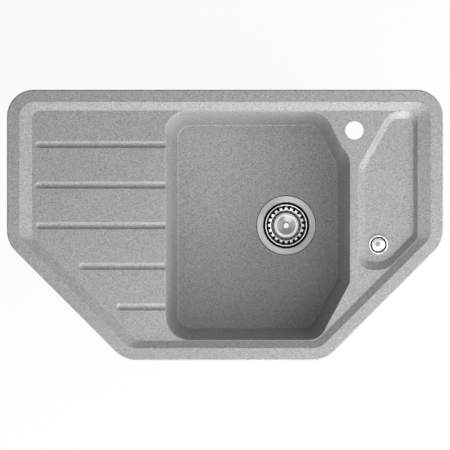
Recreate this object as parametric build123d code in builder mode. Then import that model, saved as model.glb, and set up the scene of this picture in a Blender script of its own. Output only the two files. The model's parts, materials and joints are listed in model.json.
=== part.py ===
"""Corner kitchen sink: a moulded granite-composite bowl, drainer and rinsing trough, with its
basket strainer, waste, overflow and worktop clamps.

Millimetres, +Z up.  X runs along the worktop with the bowl to the right of the drainer, and +Y
points at the wall behind the tap.  The origin is the middle of the sink's outline on the plane
of the worktop's top, which is the underside of the rim.
"""
import os
from math import hypot, sqrt
from build123d import *

os.makedirs("parts", exist_ok=True)

# ---- outline and rim ----------------------------------------------------------------------
sink_width = 830.0          # along X
sink_depth = 515.0          # along Y
corner_cut = 224.0          # leg of each 45 degree front corner
back_corner_radius = 51.0
front_corner_radius = 56.0
rim_height = 8.0            # top of the rim above the worktop
rim_width = 23.4            # flat band round the edge
edge_radius = 2.4
rim_inner_edge_radius = 2.0

# ---- recessed deck: run of each slope from the rim down to the deck ------------------------
slope_left = 24.2
slope_right = 23.3
slope_back = 16.1
slope_front = 13.6
slope_cut_left = 18.8
slope_cut_right = 14.4
deck_wall = 9.0             # thickness of the moulding under the deck and slopes
deck_back_radius = 17.0
deck_front_radius = 26.0
tray_margin = 2.0           # how far the underside steps out beyond the slopes

# ---- bowl -----------------------------------------------------------------------------------
bowl_share = 0.4767         # of the deck's width; the drainer takes what is left
bowl_depth = 182.0          # below the deck
bowl_wall = 9.0
lip_strip = 2.1             # deck left between bowl and slope, front and back
lip_radius = 1.9
bowl_run = {"left": 21.0, "right": 19.9, "back": 23.2, "front": 19.2}   # draft of each wall
bowl_back_cut = (49.1, 97.9)
floor_back_cut = (40.0, 79.4)
front_facet_over = 2.46     # front facet's end past the foot of the 45 degree slope
front_facet_slope = 1.878   # rise to run of the facet
floor_facet_less = 7.2      # run of the facet that the floor loses to the draft
bowl_corner_radii = (40.0, 42.0, 17.0, 34.0, 46.0)
floor_corner_radii = (28.0, 27.0, 24.0, 24.0, 29.0)
knuckle_set_in = 15.2       # where the rounded right wall leaves the back facet
knuckle_radius = 42.9
floor_knuckle_set_in = 6.0
floor_knuckle_radius = 46.0
floor_fillet = 4.0
bowl_foot_radius = 12.0

# ---- rinsing trough -------------------------------------------------------------------------
bridge_width = 16.0         # deck between the bowl and the trough
trough_share = 0.1547       # of the deck's width
trough_depth = 12.0
trough_wall = 9.0
trough_strip = 1.1          # deck left between the trough and the slopes
trough_run = {"left": 11.8, "right": 8.0, "back": 14.6, "front": 15.4, "cut": 12.4}
trough_back_edge = 53.6     # straight back edge, before rounding
trough_toe = 54.66          # front edge, up to the 45 degree cut
trough_facet_slope = 1.8    # rise to run of the facet by the tap
trough_floor_facet_less = 8.2
trough_floor_facet_slope = 1.817
trough_radii = (50.0, 38.0, 19.0, deck_front_radius - trough_strip, 42.0, 26.0)
trough_floor_radii = (40.0, 24.0, 12.0, 16.0, 40.0, 16.0)
trough_lip_radius = 1.5
trough_floor_fillet = 2.5

# ---- drainer grooves ------------------------------------------------------------------------
groove_width = 13.7
groove_depth = 3.6
groove_pitch = 77.3
groove_margins = (6.3, 6.3, 7.4, 32.3, 25.5)    # from the slope that ends each, back to front

# ---- tap ledge ------------------------------------------------------------------------------
tap_hole_radius = 17.5
tap_from_bowl = 9.0         # right of the bowl's right edge
tap_from_back = 37.9        # in front of the deck's back edge
tap_pad_radius = 26.0
tap_pad_height = 4.0

# ---- waste outlet in the bowl floor ----------------------------------------------------------
waste_from_right = 120.0    # left of the bowl's right edge
waste_off_middle = 0.65     # behind the middle of the bowl
steel = 1.2                 # sheet of the strainer
basket_steel = 1.0
flange_radius = 56.0
flange_mouth_radius = 45.6
flange_mouth_bend = 2.2
flange_gasket_height = 1.8
recess_gap = 1.6            # between the flange and the recess it lies in
outlet_hole_gap = 1.2
outlet_pad_radius = 70.0
outlet_pad_height = 4.0
cup_shoulder_radius = 43.4
cup_shoulder_drop = 18.0
cup_seat_radius = 31.0
cup_seat_drop = 38.0
cup_base_radius = 29.5
cup_depth = 44.0
cup_hole_radius = 4.6
cup_hole_circle = 18.5
cup_hole_count = 9

# ---- basket ---------------------------------------------------------------------------------
basket_rim_radius = 38.1
basket_rim_drop = 8.0
basket_rim_roll = 1.5
basket_wall_radius = 35.5
basket_wall_drop = 21.0
basket_ledge_radius = 29.2  # the slotted ledge lies between this and the wall
basket_ledge_drop = 22.0
basket_floor_radius = 23.6
basket_depth = 28.0
basket_bend = 1.6
slot_count = 20
slot_width = 5.2
slot_inner_radius = 30.2
slot_outer_radius = 35.4
slot_clearance = 2.0        # above the ledge, where the slots cut into the wall's bend
floor_hole_count = 20
floor_hole_radius = 1.2
floor_hole_circle = 26.2
knob_radius = 21.4
knob_height = 12.0
knob_rim = 3.0
knob_rim_height = 2.2
knob_dish_radius = 7.9      # inner end of the conical dish, round the post's head
knob_dish_depth = 3.6
knob_stem_radius = 8.0
knob_stem_height = 3.0
knob_seat_drop = 1.6        # floor of the knob's middle below the dish
post_head_radius = 6.1
post_head_height = 4.8
post_collar_radius = 6.0
post_radius = 3.0
stopper_radius = 33.0
stopper_height = 3.4
stopper_gap = 0.3
stopper_lip = 1.4
stopper_flat_radius = 24.0
stopper_hollow = 0.8
stopper_nut_radius = 5.0
stopper_nut_height = 3.0

# ---- waste body under the bowl ---------------------------------------------------------------
body_gasket_height = 2.0
waste_flange_radius = 60.0
waste_flange_height = 4.5
waste_wall = 3.4
waste_cup_gap = 1.6         # between the strainer's cup and the waste body
waste_low_radius = 43.0
waste_cup_height = 37.0
waste_cone_height = 15.0
spigot_radius = 23.9        # 47.8 mm over the thread of a G 1 1/2 outlet
spigot_bore_radius = 20.0
spigot_length = 44.0
hub_radius = 8.5
hub_height = 14.0
hub_rib = 3.2
hub_rib_turns = (45, 135, 225, 315)
bolt_radius = 3.0
bolt_head_radius = 7.0
bolt_head_height = 3.2
bolt_fit = 0.3
insert_radius = 5.2
insert_height = 11.0
branch_drop = 26.0          # axis of the side branch below the waste body's top

# ---- overflow ----------------------------------------------------------------------------------
overflow_from_left = 38.7   # from the trough's left edge
overflow_from_front = 48.1  # from its front edge
overflow_ring_radius = 18.3
overflow_ring_bore = 15.4
overflow_ring_height = 2.4
overflow_skirt_radius = 16.4
overflow_hole_gap = 0.4
overflow_skirt_drop = 7.5
overflow_hub_radius = 5.6
overflow_spoke = 2.6
overflow_cap_radius = 12.4
overflow_cap_lift = 0.6     # cap's underside above the trough floor
overflow_cap_crown = 3.0
overflow_screw_radius = 2.5
overflow_screw_head = 4.7
overflow_screw_fit = 0.15
overflow_gasket_height = 2.0
overflow_flange_radius = 25.0
overflow_flange_height = 4.0
overflow_cup_radius = 20.5
overflow_cup_wall = 2.8
overflow_cup_height = 26.0
overflow_hub_height = 13.0

# ---- overflow pipe and its joints ----------------------------------------------------------------
pipe_radius = 10.0
pipe_wall = 1.4
pipe_bend = 42.0
socket_fit = 0.3
socket_wall = 3.0
socket_length = 22.0
socket_insertion = 16.0
nut_radius = 18.5
nut_length = 19.0
nut_lip = 3.0
nut_flutes = 12
washer_height = 3.6

# ---- clamps to the worktop ----------------------------------------------------------------------
worktop_thickness = 38.0
clamp_inset = 34.0          # screw axis in from the sink's edge
clamp_boss_radius = 9.0
clamp_boss_length = 14.0    # heel pad, inwards from the screw
clamp_boss_bottom = 26.0    # below the worktop's top
plug_radius = 4.5
plug_length = 15.0
clamp_screw_radius = 2.5
clamp_screw_fit = 0.05
clamp_screw_engaged = 6.0
clamp_head_radius = 5.0
clamp_head_height = 3.5
clamp_travel = 8.0
clamp_steel = 2.5
clamp_width = 16.0
clamp_reach = 29.0
clamp_heel = 12.0
clamp_tooth = 8.0           # height of the tooth above the arm's bar
clamp_heel_gap = 3.0        # left under the pad at the end of the screw's travel
clamp_bend = 2.0
clamp_hole_fit = 0.1
left_clamp_from_back = 152.5
right_clamp_from_back = 195.5
back_clamp_shares = (0.267, 0.724)              # of the drainer's length
front_clamp_from_middle = 3.1                   # middle of the edge beside the bowl

# ---- stiffening under the drainer ---------------------------------------------------------------
rib_thickness = 6.0
rib_height = 9.0
rib_margin = 22.0


def corner(value):
    """Sideways distance that a 45 degree edge moves when it is set in by value."""
    return value * sqrt(2)


# ---- places worked out from the driving sizes ---------------------------------------------------
edge_x = sink_width / 2
edge_y = sink_depth / 2
cut_line = edge_x + edge_y - corner_cut      # x - y along the right-hand front corner

deck_left = -edge_x + rim_width + slope_left
deck_right = edge_x - rim_width - slope_right
deck_back = edge_y - rim_width - slope_back
deck_front = -edge_y + rim_width + slope_front
deck_cut_left = cut_line - corner(rim_width + slope_cut_left)
deck_cut_right = cut_line - corner(rim_width + slope_cut_right)

deck_width = deck_right - deck_left
deck_middle_y = (deck_back + deck_front) / 2

trough_right = deck_right - trough_strip
trough_left = trough_right - trough_share * deck_width
trough_back = deck_back - trough_strip
trough_cut = deck_cut_right - corner(trough_strip)
trough_front = trough_left + trough_toe - trough_cut
trough_z = -trough_depth
trough_facet = trough_right - trough_left - trough_back_edge
trough_floor_facet = trough_facet - trough_floor_facet_less
trough_back_cut = (trough_facet, trough_facet * trough_facet_slope)
trough_floor_back_cut = (trough_floor_facet, trough_floor_facet * trough_floor_facet_slope)

bowl_right = trough_left - bridge_width
bowl_left = bowl_right - bowl_share * deck_width
bowl_back = deck_back - lip_strip
bowl_front = deck_front + lip_strip
floor_z = -bowl_depth
front_facet = bowl_right - (deck_cut_right + bowl_front + front_facet_over)
floor_facet = front_facet - floor_facet_less
bowl_front_cut = (front_facet, front_facet * front_facet_slope)
floor_front_cut = (floor_facet, floor_facet * front_facet_slope)

waste_x = bowl_right - waste_from_right
waste_y = deck_middle_y + waste_off_middle
overflow_x = trough_left + overflow_from_left
overflow_y = trough_front + overflow_from_front
tap_x = bowl_right + tap_from_bowl
tap_y = deck_back - tap_from_back

waste_axis = Axis((waste_x, waste_y, 0), (0, 0, 1))
overflow_axis = Axis((overflow_x, overflow_y, 0), (0, 0, 1))


def upright(x, y, angle):
    """Upright plane through a vertical axis, with its x at an angle round that axis."""
    along = Vector(1, 0, 0).rotate(Axis.Z, angle)
    return Plane(origin=(x, y, 0), x_dir=along, z_dir=along.cross(Vector(0, 0, 1)))


def waste_level(height):
    """Horizontal plane on the waste's axis."""
    return Plane(origin=(waste_x, waste_y, height))


def overflow_level(height):
    """Horizontal plane on the overflow's axis."""
    return Plane(origin=(overflow_x, overflow_y, height))


waste_profile = upright(waste_x, waste_y, 0)
overflow_profile = upright(overflow_x, overflow_y, 0)


def rounded(points, radii, height, grow=0.0):
    """A closed outline at a height, each corner with its own radius."""
    with BuildSketch(Plane.XY.offset(height)) as outline:
        with BuildLine():
            Polyline(*points, close=True)
        make_face()
        for point, radius in zip(points, radii):
            fillet(outline.vertices().sort_by_distance(Vector(*point))[0], radius)
        if grow:
            offset(amount=grow, kind=Kind.INTERSECTION)
    return outline.sketch


def corner_sink(left, right, back, front, cut_left, cut_right, radii, height, grow=0.0):
    """The sink's six-sided plan, for the rim, the slopes and the deck."""
    points = [
        (left, back),
        (right, back),
        (right, right - cut_right),
        (cut_right + front, front),
        (-cut_left - front, front),
        (left, -left - cut_left),
    ]
    back_radius, front_radius = radii
    all_radii = [back_radius, back_radius] + [front_radius] * 4
    return rounded(points, all_radii, height, grow)


def inset_plan(inset, radii, height, grow=0.0):
    """The sink's outline set in by one distance all round."""
    line = cut_line - corner(inset)
    return corner_sink(
        inset - edge_x, edge_x - inset, edge_y - inset, inset - edge_y,
        line, line, radii, height, grow,
    )


def bowl_plan(run, back_cut, front_cut, radii, knuckle, height, grow=0.0):
    """The bowl's plan: two slanted facets on the right, and a rounded wall between them."""
    left = bowl_left + run["left"]
    right = bowl_right - run["right"]
    back = bowl_back - run["back"]
    front = bowl_front + run["front"]
    set_in, round_radius = knuckle
    facet_start = (right - back_cut[0], back)
    knuckle_x = right - set_in
    knuckle_y = back - (back_cut[0] - set_in) * back_cut[1] / back_cut[0]
    round_end_y = knuckle_y - sqrt(round_radius**2 - (round_radius - set_in) ** 2)
    front_facet_top = (right, front + front_cut[1])
    front_facet_end = (right - front_cut[0], front)
    corners = [(left, back), facet_start, front_facet_top, front_facet_end, (left, front)]
    with BuildSketch(Plane.XY.offset(height)) as outline:
        with BuildLine():
            Polyline((left, back), facet_start, (knuckle_x, knuckle_y))
            TangentArc((right, round_end_y), (knuckle_x, knuckle_y), tangent=(0, 1))
            Polyline((right, round_end_y), front_facet_top, front_facet_end, (left, front),
                     (left, back))
        make_face()
        for point, radius in zip(corners, radii):
            fillet(outline.vertices().sort_by_distance(Vector(*point))[0], radius)
        if grow:
            offset(amount=grow, kind=Kind.INTERSECTION)
    return outline.sketch


def trough_plan(run, back_cut, radii, height, grow=0.0):
    """The rinsing trough's plan, with a slanted facet by the tap and the corner's 45 degrees."""
    left = trough_left + run["left"]
    right = trough_right - run["right"]
    back = trough_back - run["back"]
    front = trough_front + run["front"]
    cut = trough_cut - corner(run["cut"])
    points = [
        (left, back - back_cut[1]),
        (left + back_cut[0], back),
        (right, back),
        (right, right - cut),
        (cut + front, front),
        (left, front),
    ]
    return rounded(points, radii, height, grow)


no_run = {"left": 0.0, "right": 0.0, "back": 0.0, "front": 0.0, "cut": 0.0}
bowl_knuckle = (knuckle_set_in, knuckle_radius)
floor_knuckle = (floor_knuckle_set_in, floor_knuckle_radius)


def bowl_mouth(height, grow=0.0):
    return bowl_plan(no_run, bowl_back_cut, bowl_front_cut, bowl_corner_radii, bowl_knuckle,
                     height, grow)


def bowl_floor(height, grow=0.0):
    return bowl_plan(bowl_run, floor_back_cut, floor_front_cut, floor_corner_radii,
                     floor_knuckle, height, grow)


def trough_mouth(height, grow=0.0):
    return trough_plan(no_run, trough_back_cut, trough_radii, height, grow)


def trough_floor(height, grow=0.0):
    return trough_plan(trough_run, trough_floor_back_cut, trough_floor_radii, height, grow)


def at_height(shapes, height):
    """Edges that lie in one horizontal plane."""
    return shapes.filter_by_position(Axis.Z, height - 0.01, height + 0.01)


# ---- hollows of the moulding --------------------------------------------------------------------
rim_radii = (back_corner_radius - rim_width, front_corner_radius - rim_width)
deck_radii = (deck_back_radius, deck_front_radius)


def deck_plan(height, grow=0.0):
    return corner_sink(deck_left, deck_right, deck_back, deck_front, deck_cut_left,
                       deck_cut_right, deck_radii, height, grow)


with BuildPart() as deck_hollow:
    loft(sections=[deck_plan(0), inset_plan(rim_width, rim_radii, rim_height)], ruled=True)

with BuildPart() as bowl_hollow:
    loft(sections=[bowl_floor(floor_z), bowl_mouth(0)], ruled=True)
    fillet(at_height(bowl_hollow.edges(), floor_z), floor_fillet)

with BuildPart() as trough_hollow:
    loft(sections=[trough_floor(trough_z), trough_mouth(0)], ruled=True)
    fillet(at_height(trough_hollow.edges(), trough_z), trough_floor_fillet)

# ---- clamp places: screw position, and the direction of the heel pad, inwards from the edge -----
cut_middle = (edge_x - corner_cut / 2, corner_cut / 2 - edge_y)
cut_shift = clamp_inset / sqrt(2)
drainer_length = bowl_left - deck_left
back_clamps_x = [deck_left + share * drainer_length for share in back_clamp_shares]
front_clamp_x = (corner_cut - edge_x + bowl_left) / 2 + front_clamp_from_middle
clamp_places = [
    (back_clamps_x[0], edge_y - clamp_inset, -90),
    (back_clamps_x[1], edge_y - clamp_inset, -90),
    (tap_x, edge_y - clamp_inset, -90),
    (edge_x - clamp_inset, edge_y - right_clamp_from_back, 180),
    (cut_middle[0] - cut_shift, cut_middle[1] + cut_shift, 135),
    (front_clamp_x, clamp_inset - edge_y, 90),
    (cut_shift - cut_middle[0], cut_middle[1] + cut_shift, 45),
    (clamp_inset - edge_x, edge_y - left_clamp_from_back, 0),
]
# at rest each arm lies along the edge, turned a quarter turn from its working place
arm_turns = [90, -90, -90, 90, 90, -90, -90, 90]


def clamp_level(place, height, turn=0):
    """Horizontal plane on a clamp's screw, with x pointing inwards from the sink's edge."""
    x, y, inwards = place
    return Plane(origin=(x, y, height)).rotated((0, 0, inwards + turn))


# ---- sink body ----------------------------------------------------------------------------------
outlet_radius = flange_mouth_radius + outlet_hole_gap
recess_depth = steel + flange_gasket_height
outlet_bottom = floor_z - bowl_wall - outlet_pad_height
overflow_hole_radius = overflow_skirt_radius + overflow_hole_gap
trough_bottom = trough_z - trough_wall
clamp_boss_height = clamp_boss_bottom - deck_wall / 2
groove_radius = (groove_width**2 / 4 + groove_depth**2) / (2 * groove_depth)

def near_mouth(edges, left, right, front, back):
    """Edges of a hollow's mouth, out of those at deck level."""
    mouth = at_height(edges, 0)
    mouth = mouth.filter_by_position(Axis.X, left - 0.1, right + 0.1)
    return mouth.filter_by_position(Axis.Y, front - 0.1, back + 0.1)


def inside_rim(edge):
    """True for an edge on the inner side of the rim's flat band."""
    middle = edge.center()
    beside = edge_x - rim_width + 0.1 - abs(middle.X)
    ahead = edge_y - rim_width + 0.1 - abs(middle.Y)
    across = cut_line - corner(rim_width - 0.1) - (abs(middle.X) - middle.Y)
    return min(beside, ahead, across) > 0


with BuildPart() as sink_body:
    extrude(inset_plan(0, (back_corner_radius, front_corner_radius), 0), amount=rim_height)
    fillet(at_height(sink_body.edges(), rim_height), edge_radius)

    # underside: tray under the deck, bowl shell and trough shell
    loft(sections=[deck_plan(-deck_wall, tray_margin),
                   inset_plan(rim_width, rim_radii, 0, tray_margin)], ruled=True)
    loft(sections=[bowl_floor(floor_z - bowl_wall, bowl_wall),
                   bowl_mouth(0, bowl_wall)], ruled=True)
    fillet(at_height(sink_body.edges(), floor_z - bowl_wall), bowl_foot_radius)
    loft(sections=[trough_floor(trough_bottom, trough_wall),
                   trough_mouth(0, trough_wall)], ruled=True)

    # pads: outlet, tap hole and clamps
    with BuildSketch(waste_level(outlet_bottom)):
        Circle(outlet_pad_radius)
    extrude(amount=outlet_pad_height + bowl_wall / 2)
    with BuildSketch(Plane(origin=(tap_x, tap_y, -deck_wall - tap_pad_height))):
        Circle(tap_pad_radius)
    extrude(amount=tap_pad_height + deck_wall / 2)
    for place in clamp_places:
        with BuildSketch(clamp_level(place, -clamp_boss_bottom)):
            Circle(clamp_boss_radius)
            with Locations((clamp_boss_length / 2, 0)):
                Rectangle(clamp_boss_length, 2 * clamp_boss_radius)
        extrude(amount=clamp_boss_height)

    # ribs under the drainer, between the grooves
    for row in (-1.5, -0.5, 0.5, 1.5):
        rib_y = deck_middle_y + row * groove_pitch
        rib_start = max(deck_left, -deck_cut_left - rib_y) + rib_margin
        with BuildSketch(Plane.XY.offset(-deck_wall - rib_height)):
            with Locations(((rib_start + bowl_left) / 2, rib_y)):
                Rectangle(bowl_left - rib_start, rib_thickness)
        extrude(amount=rib_height + deck_wall / 2)

    # the hollows seen from above, with their rounded edges
    add(deck_hollow.part, mode=Mode.SUBTRACT)
    fillet(at_height(sink_body.edges(), rim_height).filter_by(inside_rim),
           rim_inner_edge_radius)
    add(bowl_hollow.part, mode=Mode.SUBTRACT)
    fillet(near_mouth(sink_body.edges(), bowl_left, bowl_right, bowl_front, bowl_back),
           lip_radius)
    add(trough_hollow.part, mode=Mode.SUBTRACT)
    fillet(near_mouth(sink_body.edges(), trough_left, trough_right, trough_front, trough_back),
           trough_lip_radius)

    # drainer grooves of round section, with round left ends, open into the bowl
    for row, margin in enumerate(groove_margins):
        groove_y = deck_middle_y + (2 - row) * groove_pitch
        groove_x = max(deck_left, -deck_cut_left - groove_y) + margin + groove_width / 2
        groove_start = (groove_x, groove_y, groove_radius - groove_depth)
        with BuildSketch(Plane(origin=groove_start, x_dir=(0, 1, 0), z_dir=(1, 0, 0))):
            Circle(groove_radius)
        extrude(amount=bowl_left + 2 * lip_radius - groove_x, mode=Mode.SUBTRACT)
        with Locations(groove_start):
            Sphere(groove_radius, mode=Mode.SUBTRACT)

    # tap hole, outlet with its recess, overflow hole and the holes for the clamp plugs
    with BuildSketch(Plane(origin=(tap_x, tap_y, 0))):
        Circle(tap_hole_radius)
    extrude(amount=-deck_wall - tap_pad_height, mode=Mode.SUBTRACT)
    with BuildSketch(waste_level(floor_z)):
        Circle(flange_radius + recess_gap)
    extrude(amount=-recess_depth, mode=Mode.SUBTRACT)
    with BuildSketch(waste_level(floor_z)):
        Circle(outlet_radius)
    extrude(amount=outlet_bottom - floor_z, mode=Mode.SUBTRACT)
    with BuildSketch(overflow_level(trough_z)):
        Circle(overflow_hole_radius)
    extrude(amount=-trough_wall, mode=Mode.SUBTRACT)
    for place in clamp_places:
        with BuildSketch(clamp_level(place, -clamp_boss_bottom)):
            Circle(plug_radius)
        extrude(amount=plug_length, mode=Mode.SUBTRACT)

sink_body.part.label = "sink_body"
export_step(sink_body.part, "parts/sink_body.step")

# ---- strainer fixed in the bowl's outlet --------------------------------------------------------
mouth_inner_radius = flange_mouth_radius - steel
cup_floor_z = floor_z - cup_depth
seat_z = floor_z - cup_seat_drop
shoulder_z = floor_z - cup_shoulder_drop
bolt_hole_radius = bolt_radius + bolt_fit

with BuildPart() as strainer_flange:
    with BuildSketch(waste_profile):
        with BuildLine():
            FilletPolyline(
                (flange_radius, floor_z), (mouth_inner_radius, floor_z),
                (cup_shoulder_radius, shoulder_z), (cup_seat_radius, seat_z),
                (cup_base_radius, cup_floor_z), (bolt_hole_radius, cup_floor_z),
                radius=flange_mouth_bend,
            )
            offset(amount=steel, side=Side.LEFT)
        make_face()
    revolve(axis=waste_axis)
    with BuildSketch(waste_level(cup_floor_z)):
        with PolarLocations(cup_hole_circle, cup_hole_count):
            Circle(cup_hole_radius)
    extrude(amount=-2 * steel, mode=Mode.SUBTRACT)
strainer_flange.part.label = "strainer_flange"
export_step(strainer_flange.part, "parts/strainer_flange.step")

with BuildPart() as flange_gasket:
    with BuildSketch(waste_level(floor_z - recess_depth)):
        Circle(flange_radius)
        Circle(outlet_radius, mode=Mode.SUBTRACT)
    extrude(amount=flange_gasket_height)
flange_gasket.part.label = "flange_gasket"
export_step(flange_gasket.part, "parts/flange_gasket.step")

# ---- lift-out basket ----------------------------------------------------------------------------
basket_rim_z = floor_z - basket_rim_drop
basket_wall_z = floor_z - basket_wall_drop
basket_ledge_z = floor_z - basket_ledge_drop
basket_floor_z = floor_z - basket_depth
basket_under_z = basket_floor_z - basket_steel

with BuildPart() as strainer_basket:
    with BuildSketch(waste_profile):
        with BuildLine():
            FilletPolyline(
                (basket_rim_radius, basket_rim_z), (basket_wall_radius, basket_wall_z),
                (basket_ledge_radius, basket_ledge_z), (basket_floor_radius, basket_floor_z),
                (post_radius, basket_floor_z), radius=basket_bend,
            )
            offset(amount=basket_steel, side=Side.LEFT)
        make_face()
        with Locations((basket_rim_radius + basket_rim_roll - basket_steel / 2, basket_rim_z)):
            Circle(basket_rim_roll)
    revolve(axis=waste_axis)
    with BuildSketch(waste_level(basket_ledge_z + slot_clearance)):
        with PolarLocations((slot_inner_radius + slot_outer_radius) / 2, slot_count,
                            start_angle=180 / slot_count):
            Rectangle(slot_outer_radius - slot_inner_radius, slot_width)
        with PolarLocations(floor_hole_circle, floor_hole_count):
            Circle(floor_hole_radius)
    extrude(amount=basket_under_z - basket_ledge_z - slot_clearance, mode=Mode.SUBTRACT)
strainer_basket.part.label = "strainer_basket"
export_step(strainer_basket.part, "parts/strainer_basket.step")

knob_top_z = basket_floor_z + knob_height
dish_z = knob_top_z - knob_dish_depth
post_seat_z = dish_z - knob_seat_drop

with BuildPart() as basket_knob:
    with BuildSketch(waste_profile) as knob_section:
        with BuildLine():
            Polyline(
                (post_radius, basket_floor_z), (knob_stem_radius, basket_floor_z),
                (knob_stem_radius, basket_floor_z + knob_stem_height),
                (knob_radius, knob_top_z - knob_rim_height), (knob_radius, knob_top_z),
                (knob_radius - knob_rim, knob_top_z), (knob_dish_radius, dish_z),
                (knob_dish_radius, post_seat_z), (post_radius, post_seat_z), close=True,
            )
        make_face()
        for radius in (knob_radius, knob_radius - knob_rim):
            rim_corner = knob_section.vertices().sort_by_distance(Vector(radius, knob_top_z))[0]
            fillet(rim_corner, knob_rim / 3)
    revolve(axis=waste_axis)
basket_knob.part.label = "basket_knob"
export_step(basket_knob.part, "parts/basket_knob.step")

seat_slope = (cup_shoulder_radius - cup_seat_radius) / (shoulder_z - seat_z)
stopper_z = seat_z + (stopper_radius + stopper_gap - cup_seat_radius) / seat_slope
stopper_top_z = stopper_z + stopper_height
stopper_hollow_z = stopper_z + stopper_hollow
post_end_z = stopper_hollow_z - stopper_nut_height

with BuildPart() as basket_post:
    with BuildSketch(waste_profile) as post_section:
        with BuildLine():
            Polyline(
                (0, post_end_z), (post_radius, post_end_z), (post_radius, stopper_top_z),
                (post_collar_radius, stopper_top_z), (post_collar_radius, basket_under_z),
                (post_radius, basket_under_z), (post_radius, post_seat_z),
                (post_head_radius, post_seat_z),
                (post_head_radius, post_seat_z + post_head_height),
                (0, post_seat_z + post_head_height), close=True,
            )
        make_face()
        head_corner = post_section.vertices().sort_by_distance(
            Vector(post_head_radius, post_seat_z + post_head_height))[0]
        fillet(head_corner, post_head_radius / 3)
    revolve(axis=waste_axis)
basket_post.part.label = "basket_post"
export_step(basket_post.part, "parts/basket_post.step")

with BuildPart() as basket_seal:
    with BuildSketch(waste_profile):
        with BuildLine():
            Polyline(
                (post_radius, stopper_top_z), (stopper_flat_radius, stopper_top_z),
                (stopper_radius, stopper_z + stopper_lip), (stopper_radius, stopper_z),
                (stopper_flat_radius, stopper_hollow_z), (post_radius, stopper_hollow_z),
                close=True,
            )
        make_face()
    revolve(axis=waste_axis)
basket_seal.part.label = "basket_seal"
export_step(basket_seal.part, "parts/basket_seal.step")

with BuildPart() as stopper_nut:
    with BuildSketch(waste_level(post_end_z)):
        RegularPolygon(stopper_nut_radius, 6)
        Circle(post_radius, mode=Mode.SUBTRACT)
    extrude(amount=stopper_nut_height)
stopper_nut.part.label = "stopper_nut"
export_step(stopper_nut.part, "parts/stopper_nut.step")

# ---- waste body clamped under the bowl ----------------------------------------------------------
waste_top_z = outlet_bottom - body_gasket_height
waste_top_radius = cup_shoulder_radius + steel + waste_cup_gap + waste_wall
waste_flange_z = waste_top_z - waste_flange_height
waste_low_z = waste_top_z - waste_cup_height
waste_cone_z = waste_low_z - waste_cone_height
spigot_end_z = waste_cone_z - spigot_length
hub_bottom_z = waste_cone_z + waste_wall
hub_top_z = hub_bottom_z + hub_height
branch_z = waste_top_z - branch_drop

overflow_distance = hypot(overflow_x - waste_x, overflow_y - waste_y)
branch_direction = Vector(overflow_x - waste_x, overflow_y - waste_y).normalized()
branch_side = branch_direction.cross(Vector(0, 0, 1))
pipe_plane = Plane(origin=(waste_x, waste_y, 0), x_dir=branch_direction, z_dir=branch_side)
socket_radius = pipe_radius + socket_fit
socket_outer_radius = socket_radius + socket_wall
passage_radius = pipe_radius - pipe_wall
branch_end = waste_top_radius + socket_length
waste_inner_top = waste_top_radius - waste_wall
waste_inner_low = waste_low_radius - waste_wall


def branch_level(distance):
    """Upright plane square to the side branch, at a distance from the waste's axis."""
    centre = Vector(waste_x, waste_y, branch_z) + branch_direction * distance
    return Plane(origin=centre, x_dir=branch_side, z_dir=branch_direction)


def waste_inner_radius(height):
    """Radius of the waste body's inner cone at a height in its tapered foot."""
    share = (height - waste_cone_z) / waste_cone_height
    return spigot_bore_radius + share * (waste_inner_low - spigot_bore_radius)


with BuildPart() as body_gasket:
    with BuildSketch(waste_level(waste_top_z)):
        Circle(waste_flange_radius)
        Circle(outlet_radius, mode=Mode.SUBTRACT)
    extrude(amount=body_gasket_height)
body_gasket.part.label = "body_gasket"
export_step(body_gasket.part, "parts/body_gasket.step")

with BuildPart() as waste_body:
    with BuildSketch(waste_profile):
        with BuildLine():
            Polyline(
                (0, waste_top_z), (waste_flange_radius, waste_top_z),
                (waste_flange_radius, waste_flange_z), (waste_top_radius, waste_flange_z),
                (waste_low_radius, waste_low_z), (spigot_radius, waste_cone_z),
                (spigot_radius, spigot_end_z), (0, spigot_end_z), close=True,
            )
        make_face()
    revolve(axis=waste_axis)
    with BuildSketch(branch_level(waste_low_radius / 2)):
        Circle(socket_outer_radius)
    extrude(amount=branch_end - waste_low_radius / 2)
    with BuildSketch(waste_profile):
        with BuildLine():
            Polyline(
                (0, waste_top_z), (waste_inner_top, waste_top_z),
                (waste_inner_low, waste_low_z), (spigot_bore_radius, waste_cone_z),
                (spigot_bore_radius, spigot_end_z), (0, spigot_end_z), close=True,
            )
        make_face()
    revolve(axis=waste_axis, mode=Mode.SUBTRACT)
    with BuildSketch(branch_level(branch_end - socket_insertion)):
        Circle(socket_radius)
    extrude(amount=socket_insertion, mode=Mode.SUBTRACT)
    with BuildSketch(branch_level(waste_low_radius / 2)):
        Circle(passage_radius)
    extrude(amount=branch_end - waste_low_radius / 2, mode=Mode.SUBTRACT)
    for turn in hub_rib_turns:
        with BuildSketch(upright(waste_x, waste_y, turn)):
            with BuildLine():
                Polyline(
                    (hub_radius / 2 + insert_radius / 2, hub_bottom_z),
                    (waste_inner_radius(hub_bottom_z) + waste_wall / 2, hub_bottom_z),
                    (waste_inner_radius(waste_low_z) + waste_wall / 2, waste_low_z),
                    (hub_radius / 2 + insert_radius / 2, waste_low_z), close=True,
                )
            make_face()
        extrude(amount=hub_rib / 2, both=True)
    with BuildSketch(waste_level(hub_bottom_z)):
        Circle(hub_radius)
    extrude(amount=hub_height)
    with BuildSketch(waste_level(hub_bottom_z)):
        Circle(insert_radius)
    extrude(amount=hub_height, mode=Mode.SUBTRACT)
waste_body.part.label = "waste_body"
export_step(waste_body.part, "parts/waste_body.step")

with BuildPart() as bolt_insert:
    with BuildSketch(waste_level(hub_top_z - insert_height)):
        Circle(insert_radius)
        Circle(bolt_radius, mode=Mode.SUBTRACT)
    extrude(amount=insert_height)
bolt_insert.part.label = "bolt_insert"
export_step(bolt_insert.part, "parts/bolt_insert.step")

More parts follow.
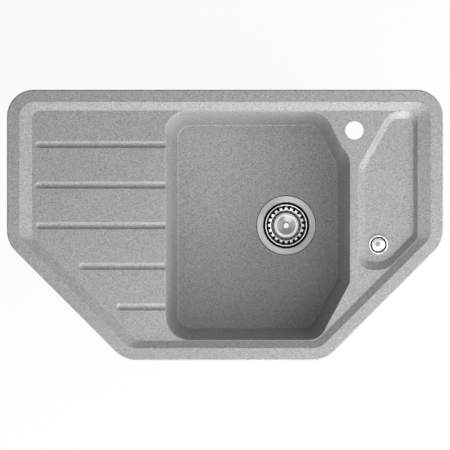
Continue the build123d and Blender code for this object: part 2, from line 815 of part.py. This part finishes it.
with BuildPart() as waste_bolt:
    with BuildSketch(waste_level(hub_top_z - insert_height)):
        Circle(bolt_radius)
    extrude(amount=cup_floor_z - hub_top_z + insert_height)
    with BuildSketch(waste_level(cup_floor_z)):
        Circle(bolt_head_radius)
    extrude(amount=bolt_head_height)
    fillet(at_height(waste_bolt.edges(), cup_floor_z + bolt_head_height), bolt_head_height / 2)
waste_bolt.part.label = "waste_bolt"
export_step(waste_bolt.part, "parts/waste_bolt.step")

# ---- overflow in the trough ---------------------------------------------------------------------
ring_top_z = trough_z + overflow_ring_height
skirt_end_z = trough_z - overflow_skirt_drop
cap_z = trough_z + overflow_cap_lift
cap_top_z = cap_z + overflow_cap_crown
screw_hole_radius = overflow_screw_radius + overflow_screw_fit
overflow_body_z = trough_bottom - overflow_gasket_height
overflow_cup_z = overflow_body_z - overflow_cup_height
overflow_hub_top_z = overflow_body_z - overflow_cup_height / 3
overflow_hub_z = overflow_hub_top_z - overflow_hub_height
overflow_socket_z = overflow_cup_z - socket_length
overflow_cup_bore = overflow_cup_radius - overflow_cup_wall

with BuildPart() as overflow_ring:
    with BuildSketch(overflow_profile) as ring_section:
        with BuildLine():
            Polyline(
                (overflow_ring_bore, skirt_end_z), (overflow_skirt_radius, skirt_end_z),
                (overflow_skirt_radius, trough_z), (overflow_ring_radius, trough_z),
                (overflow_ring_radius, ring_top_z), (overflow_ring_bore, ring_top_z),
                close=True,
            )
        make_face()
        top_corners = ring_section.vertices().sort_by(Axis.Y)[-2:]
        fillet(top_corners, (overflow_ring_radius - overflow_ring_bore) / 2.6)
    revolve(axis=overflow_axis)
    with BuildSketch(overflow_level(skirt_end_z)):
        with PolarLocations(0, 3):
            with Locations((overflow_skirt_radius / 2, 0)):
                Rectangle(overflow_skirt_radius - 0.5, overflow_spoke)
        Circle(overflow_hub_radius)
    extrude(amount=overflow_skirt_drop / 2)
    with BuildSketch(overflow_level(skirt_end_z)):
        Circle(overflow_hub_radius)
    extrude(amount=cap_z - skirt_end_z)
    with BuildSketch(overflow_level(skirt_end_z)):
        Circle(screw_hole_radius)
    extrude(amount=cap_z - skirt_end_z, mode=Mode.SUBTRACT)
overflow_ring.part.label = "overflow_ring"
export_step(overflow_ring.part, "parts/overflow_ring.step")

with BuildPart() as overflow_cap:
    with BuildSketch(overflow_profile):
        with BuildLine():
            Polyline(
                (overflow_screw_head, cap_top_z), (screw_hole_radius, cap_top_z),
                (screw_hole_radius, cap_z), (overflow_cap_radius, cap_z),
                (overflow_cap_radius, cap_z + overflow_cap_crown / 3),
            )
            RadiusArc((overflow_cap_radius, cap_z + overflow_cap_crown / 3),
                      (overflow_screw_head, cap_top_z), -2 * overflow_cap_radius)
        make_face()
    revolve(axis=overflow_axis)
overflow_cap.part.label = "overflow_cap"
export_step(overflow_cap.part, "parts/overflow_cap.step")

with BuildPart() as overflow_screw:
    with BuildSketch(overflow_level(overflow_hub_z)):
        Circle(overflow_screw_radius)
    extrude(amount=cap_top_z - overflow_hub_z)
    with BuildSketch(overflow_level(cap_top_z)):
        Circle(overflow_screw_head)
    extrude(amount=overflow_screw_radius)
    screw_top = at_height(overflow_screw.edges(), cap_top_z + overflow_screw_radius)
    fillet(screw_top, overflow_screw_radius / 2)
overflow_screw.part.label = "overflow_screw"
export_step(overflow_screw.part, "parts/overflow_screw.step")

with BuildPart() as overflow_gasket:
    with BuildSketch(overflow_level(overflow_body_z)):
        Circle(overflow_flange_radius)
        Circle(overflow_hole_radius, mode=Mode.SUBTRACT)
    extrude(amount=overflow_gasket_height)
overflow_gasket.part.label = "overflow_gasket"
export_step(overflow_gasket.part, "parts/overflow_gasket.step")

with BuildPart() as overflow_body:
    with BuildSketch(overflow_profile):
        with BuildLine():
            Polyline(
                (overflow_cup_bore, overflow_body_z), (overflow_flange_radius, overflow_body_z),
                (overflow_flange_radius, overflow_body_z - overflow_flange_height),
                (overflow_cup_radius, overflow_body_z - overflow_flange_height),
                (overflow_cup_radius, overflow_cup_z), (socket_outer_radius, overflow_cup_z),
                (socket_outer_radius, overflow_socket_z), (socket_radius, overflow_socket_z),
                (socket_radius, overflow_socket_z + socket_insertion),
                (passage_radius, overflow_socket_z + socket_insertion),
                (passage_radius, overflow_cup_z + overflow_cup_wall),
                (overflow_cup_bore, overflow_cup_z + overflow_cup_wall), close=True,
            )
        make_face()
    revolve(axis=overflow_axis)
    for turn in hub_rib_turns:
        with BuildSketch(upright(overflow_x, overflow_y, turn)):
            with BuildLine():
                Polyline(
                    (overflow_hub_radius + overflow_cup_wall / 2, overflow_hub_z),
                    (overflow_cup_bore + overflow_cup_wall / 2, overflow_hub_z),
                    (overflow_cup_bore + overflow_cup_wall / 2, overflow_hub_top_z),
                    (overflow_hub_radius + overflow_cup_wall / 2, overflow_hub_top_z),
                    close=True,
                )
            make_face()
        extrude(amount=hub_rib / 2, both=True)
    with BuildSketch(overflow_level(overflow_hub_z)):
        Circle(overflow_hub_radius + overflow_cup_wall)
        Circle(overflow_hub_radius, mode=Mode.SUBTRACT)
    extrude(amount=overflow_hub_height)
overflow_body.part.label = "overflow_body"
export_step(overflow_body.part, "parts/overflow_body.step")

with BuildPart() as overflow_insert:
    with BuildSketch(overflow_level(overflow_hub_z)):
        Circle(overflow_hub_radius)
        Circle(overflow_screw_radius, mode=Mode.SUBTRACT)
    extrude(amount=overflow_hub_height)
overflow_insert.part.label = "overflow_insert"
export_step(overflow_insert.part, "parts/overflow_insert.step")

# ---- overflow pipe and its two compression joints -----------------------------------------------
pipe_start = branch_end - socket_insertion + socket_fit
pipe_top_z = overflow_socket_z + socket_insertion - socket_fit

with BuildPart() as overflow_pipe:
    with BuildLine(pipe_plane) as pipe_route:
        FilletPolyline((pipe_start, branch_z), (overflow_distance, branch_z),
                       (overflow_distance, pipe_top_z), radius=pipe_bend)
    with BuildSketch(branch_level(pipe_start)):
        Circle(pipe_radius)
        Circle(passage_radius, mode=Mode.SUBTRACT)
    sweep(path=pipe_route.wires()[0])
overflow_pipe.part.label = "overflow_pipe"
export_step(overflow_pipe.part, "parts/overflow_pipe.step")


def pipe_washer(plane):
    """Rubber ring that seals the pipe at a socket's mouth; the plane faces out of the socket."""
    with BuildPart() as washer:
        with BuildSketch(plane):
            Circle(socket_outer_radius)
            Circle(pipe_radius, mode=Mode.SUBTRACT)
        extrude(amount=washer_height)
    return washer.part


def pipe_nut(plane):
    """Fluted plastic union nut; the plane lies on the socket's mouth and faces out of it."""
    nut_back = nut_length - washer_height - nut_lip
    with BuildPart() as nut:
        with BuildSketch(plane.offset(-nut_back)):
            Circle(nut_radius)
            with PolarLocations(nut_radius, nut_flutes):
                Circle(socket_wall / 2, mode=Mode.SUBTRACT)
        extrude(amount=nut_length)
        with BuildSketch(plane.offset(-nut_back)):
            Circle(socket_outer_radius)
        extrude(amount=nut_length - nut_lip, mode=Mode.SUBTRACT)
        with BuildSketch(plane):
            Circle(socket_radius)
        extrude(amount=nut_length, mode=Mode.SUBTRACT)
    return nut.part


lower_mouth = branch_level(branch_end)
upper_mouth = Plane(origin=(overflow_x, overflow_y, overflow_socket_z), z_dir=(0, 0, -1))
for level, mouth in (("lower", lower_mouth), ("upper", upper_mouth)):
    washer = pipe_washer(mouth)
    washer.label = f"{level}_pipe_washer"
    export_step(washer, f"parts/{level}_pipe_washer.step")
    nut = pipe_nut(mouth)
    nut.label = f"{level}_pipe_nut"
    export_step(nut, f"parts/{level}_pipe_nut.step")

# ---- clamps to the worktop ----------------------------------------------------------------------
screw_top_z = clamp_screw_engaged - clamp_boss_bottom
tooth_z = -worktop_thickness - clamp_travel
bar_z = tooth_z - clamp_tooth
heel_z = -clamp_boss_bottom - clamp_travel - clamp_heel_gap
bar_under_z = bar_z - clamp_steel

with BuildPart() as clamp_plugs:
    for place in clamp_places:
        with BuildSketch(clamp_level(place, -clamp_boss_bottom)):
            Circle(plug_radius)
            Circle(clamp_screw_radius + clamp_screw_fit, mode=Mode.SUBTRACT)
        extrude(amount=plug_length)
clamp_plugs.part.label = "clamp_plugs"
export_step(clamp_plugs.part, "parts/clamp_plugs.step")

for number, (place, turn) in enumerate(zip(clamp_places, arm_turns), start=1):
    with BuildPart() as clamp_screw:
        with BuildSketch(clamp_level(place, bar_under_z)):
            Circle(clamp_screw_radius)
        extrude(amount=screw_top_z - bar_under_z)
        with BuildSketch(clamp_level(place, bar_under_z)):
            RegularPolygon(clamp_head_radius, 6)
        extrude(amount=-clamp_head_height)
    clamp_screw.part.label = f"clamp_screw_{number}"
    export_step(clamp_screw.part, f"parts/clamp_screw_{number}.step")

    with BuildPart() as clamp_arm:
        with BuildSketch(upright(place[0], place[1], place[2] + turn)):
            with BuildLine():
                FilletPolyline((clamp_heel, heel_z), (clamp_heel, bar_under_z),
                               (-clamp_reach, bar_under_z), (-clamp_reach, tooth_z),
                               radius=clamp_bend + clamp_steel)
                offset(amount=clamp_steel, side=Side.RIGHT)
            make_face()
        extrude(amount=clamp_width / 2, both=True)
        with BuildSketch(clamp_level(place, bar_under_z)):
            Circle(clamp_screw_radius + clamp_hole_fit)
        extrude(amount=clamp_steel, mode=Mode.SUBTRACT)
    clamp_arm.part.label = f"clamp_arm_{number}"
    export_step(clamp_arm.part, f"parts/clamp_arm_{number}.step")
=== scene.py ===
import json
import math

import bpy
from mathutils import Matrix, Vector


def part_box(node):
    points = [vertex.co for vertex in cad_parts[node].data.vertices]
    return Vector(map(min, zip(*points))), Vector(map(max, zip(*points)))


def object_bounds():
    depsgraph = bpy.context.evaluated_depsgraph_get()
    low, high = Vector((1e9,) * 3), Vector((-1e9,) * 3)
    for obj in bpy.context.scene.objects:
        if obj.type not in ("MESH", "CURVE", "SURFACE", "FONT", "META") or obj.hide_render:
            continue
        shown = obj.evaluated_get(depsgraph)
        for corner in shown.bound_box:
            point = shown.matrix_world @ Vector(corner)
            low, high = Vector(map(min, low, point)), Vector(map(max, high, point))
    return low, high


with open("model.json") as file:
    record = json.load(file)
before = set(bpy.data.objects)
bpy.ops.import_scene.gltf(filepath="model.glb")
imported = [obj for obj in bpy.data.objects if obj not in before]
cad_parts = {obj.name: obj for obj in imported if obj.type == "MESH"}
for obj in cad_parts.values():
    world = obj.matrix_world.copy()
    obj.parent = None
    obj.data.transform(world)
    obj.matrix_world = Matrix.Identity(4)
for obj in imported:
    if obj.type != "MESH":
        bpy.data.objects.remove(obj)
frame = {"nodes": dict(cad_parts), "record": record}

cad_low, cad_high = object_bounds()
nodes = frame["nodes"]


# ---- node helpers ----------------------------------------------------------------------------
def shade(value):
    """A grey as a colour with alpha."""
    return (value, value, value, 1.0)


class NodeTree:
    """A node tree, with short calls that add a node and link or set its inputs."""

    def __init__(self, owner):
        owner.use_nodes = True
        self.tree = owner.node_tree
        self.tree.nodes.clear()

    def feed(self, socket, value):
        if isinstance(value, bpy.types.NodeSocket):
            self.tree.links.new(value, socket)
        else:
            socket.default_value = value

    def feed_all(self, sockets, values):
        for socket, value in zip(sockets, values):
            self.feed(socket, value)

    def add(self, kind, settings=None, **inputs):
        """Keywords name the node's inputs, with _ for a space."""
        node = self.tree.nodes.new(kind)
        for key, value in (settings or {}).items():
            setattr(node, key, value)
        for key, value in inputs.items():
            self.feed(node.inputs[key.replace("_", " ")], value)
        return node

    def ramp(self, factor, *stops):
        """Grey or coloured stops in rising order of their place."""
        node = self.add("ShaderNodeValToRGB", Fac=factor)
        band = node.color_ramp.elements
        while len(band) < len(stops):
            band.new(0.5)
        for element, (place, value) in zip(band, stops):
            element.position = place
            element.color = (*value, 1.0) if isinstance(value, tuple) else shade(value)
        return node.outputs["Color"]

    def maths(self, operation, first, second=0.0):
        node = self.add("ShaderNodeMath", {"operation": operation})
        self.feed_all(node.inputs, (first, second))
        return node.outputs[0]

    def vector_maths(self, operation, first, second):
        node = self.add("ShaderNodeVectorMath", {"operation": operation})
        self.feed_all(node.inputs, (first, second))
        return node

    def span(self, value, low, high, new_low, new_high, kind="LINEAR"):
        node = self.add("ShaderNodeMapRange", {"interpolation_type": kind})
        self.feed_all(node.inputs, (value, low, high, new_low, new_high))
        return node.outputs[0]

    def mix_shaders(self, factor, first, second):
        node = self.add("ShaderNodeMixShader")
        self.feed_all(node.inputs, (factor, first.outputs[0], second.outputs[0]))
        return node.outputs[0]

    def lit_for_looks(self):
        """1 for rays that the camera, a reflection or glass sends, 0 for rays of light."""
        path = self.add("ShaderNodeLightPath").outputs
        seen = self.maths("MAXIMUM", path["Is Camera Ray"], path["Is Glossy Ray"])
        return self.maths("MAXIMUM", seen, path["Is Transmission Ray"])


class Shader(NodeTree):
    """A new node material."""

    def __init__(self, name):
        self.material = bpy.data.materials.new(name)
        super().__init__(self.material)
        self.output = self.add("ShaderNodeOutputMaterial")
        self.coordinates = self.add("ShaderNodeTexCoord").outputs["Object"]

    def noise(self, scale, detail=2.0, roughness=0.5, vector=None):
        node = self.add("ShaderNodeTexNoise", Scale=scale, Detail=detail, Roughness=roughness,
                        Vector=vector or self.coordinates)
        return node.outputs["Fac"]

    def mix(self, factor, first, second, blend="MIX"):
        node = self.add("ShaderNodeMix", {"data_type": "RGBA", "blend_type": blend})
        self.feed(node.inputs[0], factor)
        self.feed_all(node.inputs[6:8], (first, second))
        return node.outputs[2]

    def tinted(self, factor, low_at, high_at, base, low, high):
        """The base colour, from low times it to high times it as the factor rises."""
        return self.ramp(factor, (low_at, tuple(c * low for c in base)),
                         (high_at, tuple(c * high for c in base)))

    def bump(self, height, distance, strength):
        node = self.add("ShaderNodeBump", Height=height, Distance=distance, Strength=strength)
        return node.outputs["Normal"]

    def polar(self, centre):
        """Radius, angle, height and outward direction round a vertical axis."""
        move = self.vector_maths("SUBTRACT", self.coordinates, centre)
        x, y, z = self.add("ShaderNodeSeparateXYZ", Vector=move.outputs[0]).outputs
        radius = self.maths("SQRT", self.maths("ADD", self.maths("MULTIPLY", x, x),
                                               self.maths("MULTIPLY", y, y)))
        angle = self.maths("ARCTAN2", y, x)
        outward = self.add("ShaderNodeCombineXYZ", X=x, Y=y)
        return radius, angle, z, outward.outputs[0]

    def surface(self, **inputs):
        shader = self.add("ShaderNodeBsdfPrincipled", **inputs)
        self.feed(self.output.inputs["Surface"], shader.outputs[0])
        return self.material


# ---- materials -------------------------------------------------------------------------------
flange_low, flange_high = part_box("strainer_flange")
WASTE_CENTRE = (*((flange_low + flange_high) / 2)[:2], flange_high.z)
RING_HEIGHT = 0.0024        # the overflow ring's top over the trough's floor
TROUGH_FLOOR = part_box("overflow_ring")[1].z - RING_HEIGHT

GRAIN_SIZE = 0.0011         # quartz grains of the composite
RECESS_RADIUS = 0.0576      # the bowl's recess for the flange


def granite(name, base):
    """Moulded quartz composite: each grain has its own tone, with a few dark and light flecks.

    The joint between bowl and flange, in the flange's recess, is painted dark: painted shade.
    """
    s = Shader(name)
    grains = s.add("ShaderNodeTexVoronoi", Scale=1 / GRAIN_SIZE, Vector=s.coordinates)
    tone = s.add("ShaderNodeSeparateColor", Color=grains.outputs["Color"]).outputs
    grain = s.ramp(tone[0], (0.0, base * 0.44), (0.15, base * 0.81), (0.5, base),
                   (0.85, base * 1.16), (1.0, base * 1.50))
    fine = s.noise(2400.0, detail=1.0)
    clouds = s.noise(9.0, detail=3.0)
    mottled = s.mix(1.0, grain, s.ramp(clouds, (0.3, 0.975), (0.7, 1.025)), "MULTIPLY")
    colour = s.mix(1.0, mottled, s.ramp(fine, (0.35, 0.95), (0.65, 1.05)), "MULTIPLY")
    radius, _, z, _ = s.polar(WASTE_CENTRE)
    # painted shade: the granite in the flange's recess is darkened towards black
    painted_joint_shade = s.maths("MULTIPLY", s.span(radius, RECESS_RADIUS, RECESS_RADIUS + 0.0004, 1.0, 0.0),
                    s.span(z, -0.0006, -0.0002, 1.0, 0.0))
    relief = s.maths("ADD", tone[2], fine)
    return s.surface(Base_Color=s.mix(painted_joint_shade, colour, shade(0.03)), IOR=1.5,
                     Roughness=s.span(tone[1], 0.0, 1.0, 0.24, 0.38),
                     Normal=s.bump(relief, 0.00002, 0.6))


def turned_metal(name, base, rough, painted_light_zones, lines=0.00012, anisotropy=0.75):
    """Steel finished on a lathe, with fine rings round the strainer's axis.

    The tables say along what they run, how far they reach, and their stops: a radius or depth
    and how bright the steel is painted there, as painted shade where the cup and the slots that
    it mirrors are dark, and as painted highlights where it is brighter.
    """
    s = Shader(name)
    radius, angle, z, outward = s.polar(WASTE_CENTRE)
    place = s.add("ShaderNodeCombineXYZ", X=radius, Y=s.maths("MULTIPLY", angle, 0.0015), Z=z)
    rings = s.noise(1 / lines, detail=3.0, roughness=0.6, vector=place.outputs[0])
    smears = s.noise(60.0, detail=2.0)
    colour = s.mix(0.35, s.tinted(rings, 0.3, 0.7, base, 0.95, 1.04),
                   s.tinted(smears, 0.35, 0.65, base, 0.95, 1.04))
    along, reach, stops = painted_light_zones
    measure = radius if along == "radius" else s.maths("MULTIPLY", z, -1.0)
    # painted shade and painted highlights, laid into the base colour by radius or depth
    painted_light = s.ramp(s.span(measure, 0.0, reach, 0.0, 1.0),
                  *[(place / reach, tone) for place, tone in stops])
    roughness = s.span(s.maths("ADD", rings, smears), 0.6, 1.4, rough * 0.85, rough * 1.15)
    return s.surface(Base_Color=s.mix(1.0, colour, painted_light, "MULTIPLY"), Metallic=1.0,
                     Roughness=roughness, Anisotropic=anisotropy, Tangent=outward,
                     Normal=s.bump(rings, 0.000006, 0.4))


def plain_metal(name, base, rough, grain=900.0, depth=0.000006, painted_shade_below=None, metallic=1.0):
    """Plated or polished metal with a faint cloudiness and fine scratches.

    Below a given height it is painted darker, as painted shade where it sees only the hole that
    it stands in.
    """
    s = Shader(name)
    clouds = s.noise(70.0, detail=4.0)
    fine = s.noise(grain, detail=3.0, roughness=0.7)
    colour = s.tinted(clouds, 0.35, 0.65, base, 0.94, 1.04)
    if painted_shade_below is not None:
        z = s.add("ShaderNodeSeparateXYZ", Vector=s.coordinates).outputs[2]
        # painted shade: the colour falls to a quarter below the given height
        painted_shade_factor = s.span(z, painted_shade_below - 0.001, painted_shade_below, 0.25, 1.0)
        colour = s.mix(1.0, colour, s.ramp(painted_shade_factor, (0.0, 0.0), (1.0, 1.0)), "MULTIPLY")
    return s.surface(Base_Color=colour, Metallic=metallic, Normal=s.bump(fine, depth, 0.5),
                     Roughness=s.span(fine, 0.3, 0.7, rough * 0.75, rough * 1.25))


def plastic(name, base, rough=0.38):
    """Injection-moulded plastic: an even colour, faint flow marks and a fine spark texture."""
    s = Shader(name)
    texture = s.noise(1800.0, detail=1.0)
    return s.surface(Base_Color=s.tinted(s.noise(28.0), 0.3, 0.7, base, 0.95, 1.03), IOR=1.49,
                     Roughness=s.span(texture, 0.3, 0.7, rough * 0.85, rough * 1.15),
                     Normal=s.bump(texture, 0.00002, 0.5))


def rubber(name, base=0.022):
    """Matt moulded rubber with a little dust in its pores."""
    s = Shader(name)
    pores = s.noise(1500.0)
    dust = s.noise(90.0, detail=4.0)
    colour = s.mix(s.ramp(dust, (0.45, 0.0), (0.8, 0.25)), shade(base), shade(base * 3.5))
    return s.surface(Base_Color=colour, Roughness=s.span(pores, 0.3, 0.7, 0.62, 0.85),
                     Normal=s.bump(pores, 0.00004, 0.7))


GRANITE = 0.388
FLANGE_STEEL = (0.60, 0.60, 0.595)
KNOB_STEEL = (0.70, 0.70, 0.69)
BASKET_STEEL = (0.84, 0.84, 0.83)
SCREW_STEEL = (0.42, 0.42, 0.42)
CHROME = (0.86, 0.86, 0.87)
SATIN_CHROME = (0.90, 0.90, 0.91)
ZINC = (0.60, 0.61, 0.62)
BRASS = (0.66, 0.47, 0.20)
WHITE_PLASTIC = (0.72, 0.72, 0.70)
NYLON = (0.55, 0.55, 0.51)

# The flange keeps its steel colour and the cup below it is painted dark: painted shade.
CUP_PAINTED_SHADE = ("depth", 0.050, [(0.001, 1.0), (0.004, 0.08), (0.050, 0.04)])
# Painted light on the knob: painted shade in the lines round the post's head, a painted dark
# reflection in the dish, and painted highlights on the post's head and its rolled rim.
KNOB_PAINTED_LIGHT = ("radius", 0.050, [(0.0052, 1.1), (0.0058, 0.40), (0.0064, 0.9), (0.0070, 0.30),
                                (0.0078, 0.58), (0.0178, 0.58), (0.0190, 1.1), (0.0210, 1.1)])
# Painted light on the basket: painted highlights on its floor, the bars between its slots and
# the crest of its rim, and painted shade on its dark wall and past the rim.
BASKET_PAINTED_LIGHT = ("radius", 0.050, [(0.0, 1.1), (0.0235, 1.1), (0.0255, 1.2), (0.0300, 0.9),
                                  (0.0330, 0.9), (0.0345, 0.06), (0.0378, 0.06),
                                  (0.0386, 1.1), (0.0396, 1.1), (0.0402, 0.06)])

finishes = {
    "granite_composite": granite("granite_composite", GRANITE),
    "brushed_steel": turned_metal("brushed_steel", FLANGE_STEEL, 0.55, CUP_PAINTED_SHADE,
                                  anisotropy=0.9),
    "polished_steel": turned_metal("polished_steel", KNOB_STEEL, 0.34, KNOB_PAINTED_LIGHT, 0.0003, 0.3),
    "chrome": plain_metal("chrome", CHROME, 0.05),
    "brass": plain_metal("brass", BRASS, 0.3),
    "black_rubber": rubber("black_rubber"),
    "white_plastic": plastic("white_plastic", WHITE_PLASTIC),
    "nylon": plastic("nylon", NYLON, 0.5),
    "zinc_steel": plain_metal("zinc_steel", ZINC, 0.34, 500.0, 0.00001),
}

# Pieces whose finish differs from the others in their slot.
own_finish = {
    "strainer_basket": turned_metal("basket_steel", BASKET_STEEL, 0.26, BASKET_PAINTED_LIGHT,
                                    0.0003, 0.4),
    "overflow_ring": plain_metal("ring_chrome", CHROME, 0.08, painted_shade_below=TROUGH_FLOOR),
    "overflow_cap": plain_metal("satin_chrome", SATIN_CHROME, 0.14, metallic=0.5),
    "overflow_screw": plain_metal("screw_steel", SCREW_STEEL, 0.25),
}

for part in frame["record"]["subparts"]:
    node = nodes[part["node"]]
    node.data.materials.clear()
    node.data.materials.append(own_finish.get(part["node"], finishes[part["material_slot"]]))

# ---- floor -----------------------------------------------------------------------------------
FLOOR_SIZE = 12.0
FLOOR_DROP = 0.0005         # under the waste outlet
FLOOR_GREY = 0.8
FLOOR_SHADOW = 0.05         # how much of the floor's own light the camera sees

mesh = bpy.data.meshes.new("floor")
half = FLOOR_SIZE / 2
corners = ((-half, -half), (half, -half), (half, half), (-half, half))
mesh.from_pydata([(x, y, cad_low.z - FLOOR_DROP) for x, y in corners], [], [(0, 1, 2, 3)])
floor = bpy.data.objects.new("floor", mesh)
bpy.context.scene.collection.objects.link(floor)

s = Shader("floor")
s.feed(s.output.inputs["Surface"],
       s.mix_shaders(s.maths("MULTIPLY", s.lit_for_looks(), 1 - FLOOR_SHADOW),
                     s.add("ShaderNodeBsdfDiffuse", Color=shade(FLOOR_GREY)),
                     s.add("ShaderNodeEmission")))
mesh.materials.append(s.material)

# ---- light -----------------------------------------------------------------------------------
AMBIENT = 0.115
SIDE_TONE = 0.44            # how bright the room is in reflections: at the sides,
TOP_TONE = 1.0              # above, and on a white card,
CARD = (-0.60, -0.12, 0.79)     # which stands in this direction

world = bpy.data.worlds.new("studio")
bpy.context.scene.world = world
s = NodeTree(world)
direction = s.add("ShaderNodeTexCoord").outputs["Generated"]
height = s.add("ShaderNodeSeparateXYZ", Vector=direction).outputs[2]
room = s.span(height, 0.82, 0.94, SIDE_TONE, TOP_TONE, "SMOOTHSTEP")
facing = s.vector_maths("DOT_PRODUCT", direction, CARD).outputs["Value"]
card = s.span(facing, 0.88, 0.94, 0.0, TOP_TONE, "SMOOTHSTEP")
soft = s.add("ShaderNodeBackground", Color=shade(1.0), Strength=AMBIENT)
white = s.add("ShaderNodeBackground", Color=s.maths("MAXIMUM", room, card))
output = s.add("ShaderNodeOutputWorld")
s.feed(output.inputs["Surface"], s.mix_shaders(s.lit_for_looks(), soft, white))

LAMP_DISTANCE = 2.0
LAMP_SIZE = 1.33


def area_lamp(name, azimuth, elevation, power):
    """A soft square lamp that faces the sink from a direction in degrees."""
    across = LAMP_DISTANCE * math.cos(math.radians(elevation))
    place = Vector((across * math.cos(math.radians(azimuth)),
                    across * math.sin(math.radians(azimuth)),
                    LAMP_DISTANCE * math.sin(math.radians(elevation))))
    data = bpy.data.lights.new(name, "AREA")
    data.size = LAMP_SIZE
    data.energy = power
    lamp = bpy.data.objects.new(name, data)
    lamp.location = place
    lamp.rotation_euler = (-place).to_track_quat("-Z", "Y").to_euler()
    bpy.context.scene.collection.objects.link(lamp)


area_lamp("front_low", -75.0, 20.0, 32.5)
area_lamp("front_high", -100.0, 52.0, 12.1)
area_lamp("side_low", -25.0, 20.0, 21.9)
area_lamp("side_high", 0.0, 52.0, 13.9)

# ---- camera: straight above, far enough away to show no perspective --------------------------
CAMERA_HEIGHT = 25.0
FRAME_WIDTH = 0.8568        # what the photograph's width spans at the rim
SENSOR_WIDTH = 36.0         # in millimetres, as the lens is
CAMERA_CLIP = (1.0, 60.0)

camera_data = bpy.data.cameras.new("camera")
camera_data.sensor_width = SENSOR_WIDTH
camera_data.lens = SENSOR_WIDTH * CAMERA_HEIGHT / FRAME_WIDTH
camera_data.clip_start, camera_data.clip_end = CAMERA_CLIP
camera = bpy.data.objects.new("camera", camera_data)
camera.location = (0.0, 0.0, CAMERA_HEIGHT)
bpy.context.scene.collection.objects.link(camera)
bpy.context.scene.camera = camera

bpy.context.scene.view_settings.view_transform = "Standard"
